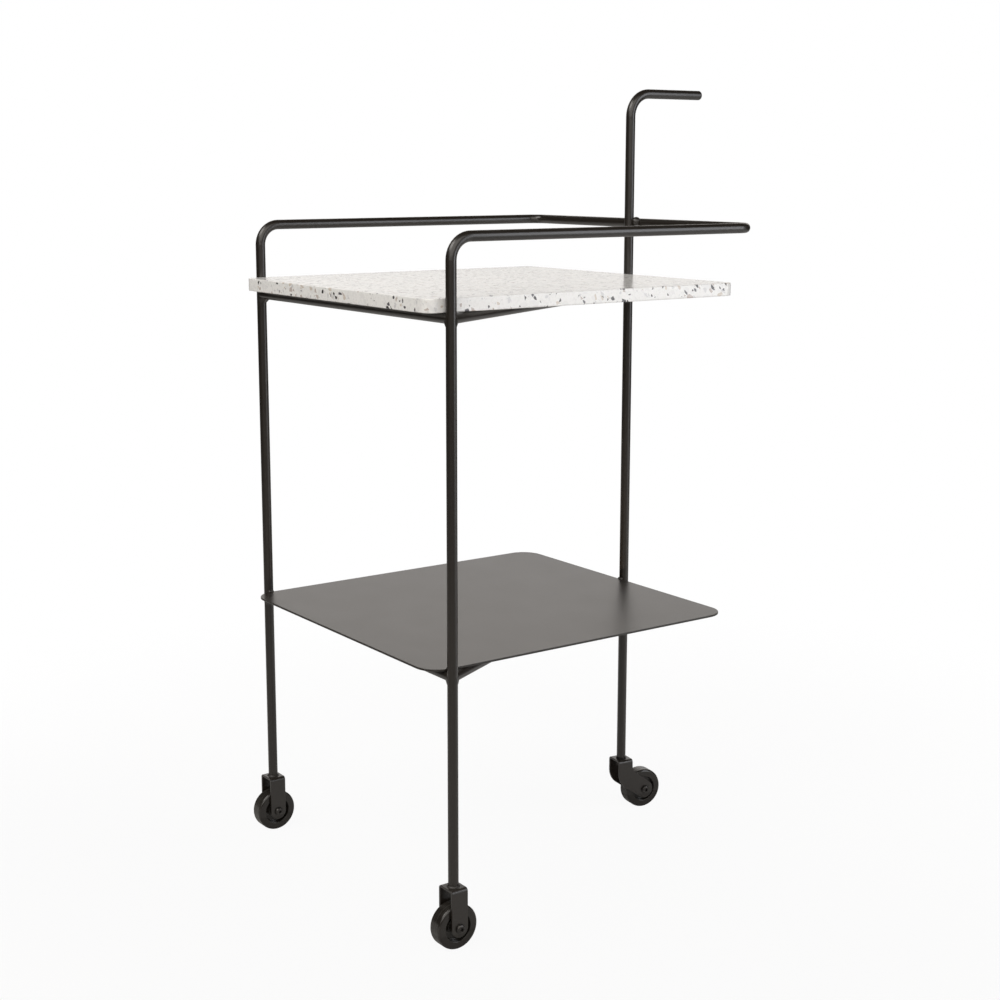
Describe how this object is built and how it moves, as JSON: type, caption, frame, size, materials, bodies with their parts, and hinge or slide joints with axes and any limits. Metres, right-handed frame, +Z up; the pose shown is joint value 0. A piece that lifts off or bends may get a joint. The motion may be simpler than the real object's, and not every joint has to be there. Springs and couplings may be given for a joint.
{
  "type": "serving trolley",
  "caption": "Serving trolley of bent black round bar with a guard rail and push handle, a terrazzo top, a flat steel shelf and small wheels, the rear one swivelling.",
  "frame": {"origin": "on the floor, under the middle of the whole trolley's box", "axes": "+Z up; +Y to the rear, the way the push handle points; +X to the right of someone who faces the trolley's open front"},
  "size_m": [0.4644, 0.567, 0.97],
  "materials": {
    "black_coat": "satin",
    "terrazzo": "polished",
    "wheel_plastic": "satin",
    "bearing_plastic": "matte",
    "bare_steel": "satin",
    "black_fastener": "satin"
  },
  "bodies": {
    "frame": {"rail_hoop": "black_coat", "rear_post": "black_coat", "upper_front_crossbar": "black_coat", "upper_left_crossbar": "black_coat", "upper_right_crossbar": "black_coat", "lower_front_crossbar": "black_coat", "lower_left_crossbar": "black_coat", "lower_right_crossbar": "black_coat", "upper_frame_welds": "black_coat", "lower_frame_welds": "black_coat", "rail_welds": "black_coat", "shelf_tack_welds": "black_coat", "fork_welds": "black_coat", "lower_shelf": "black_coat", "terrazzo_top": "terrazzo", "front_left_fork": "black_coat", "front_left_axle_screw": "black_fastener", "front_left_axle_nut": "black_fastener", "front_left_axle_sleeve": "bare_steel", "front_right_fork": "black_coat", "front_right_axle_screw": "black_fastener", "front_right_axle_nut": "black_fastener", "front_right_axle_sleeve": "bare_steel", "swivel_screw": "bare_steel", "thrust_washer": "bare_steel"},
    "front_left_wheel": {"front_left_wheel": "wheel_plastic", "front_left_wheel_bush": "bearing_plastic"},
    "front_right_wheel": {"front_right_wheel": "wheel_plastic", "front_right_wheel_bush": "bearing_plastic"},
    "rear_caster": {"rear_fork": "black_coat", "swivel_bush": "bearing_plastic", "rear_axle_screw": "black_fastener", "rear_axle_nut": "black_fastener", "rear_axle_sleeve": "bare_steel"},
    "rear_wheel": {"rear_wheel": "wheel_plastic", "rear_wheel_bush": "bearing_plastic"}
  },
  "joints": [
    {"name": "front_left_wheel_spin", "type": "hinge", "parent": "frame", "child": "front_left_wheel", "pos_m": [-0.215, -0.257, 0.0265], "axis": [1, 0, 0], "continuous": true},
    {"name": "front_right_wheel_spin", "type": "hinge", "parent": "frame", "child": "front_right_wheel", "pos_m": [0.215, -0.257, 0.0265], "axis": [1, 0, 0], "continuous": true},
    {"name": "rear_caster_swivel", "type": "hinge", "parent": "frame", "child": "rear_caster", "pos_m": [0, 0.166, 0.073], "axis": [0, 0, 1], "continuous": true},
    {"name": "rear_wheel_spin", "type": "hinge", "parent": "rear_caster", "child": "rear_wheel", "pos_m": [0.00431, 0.1967, 0.0265], "axis": [0.9903, -0.1392, 0], "continuous": true}
  ]
}
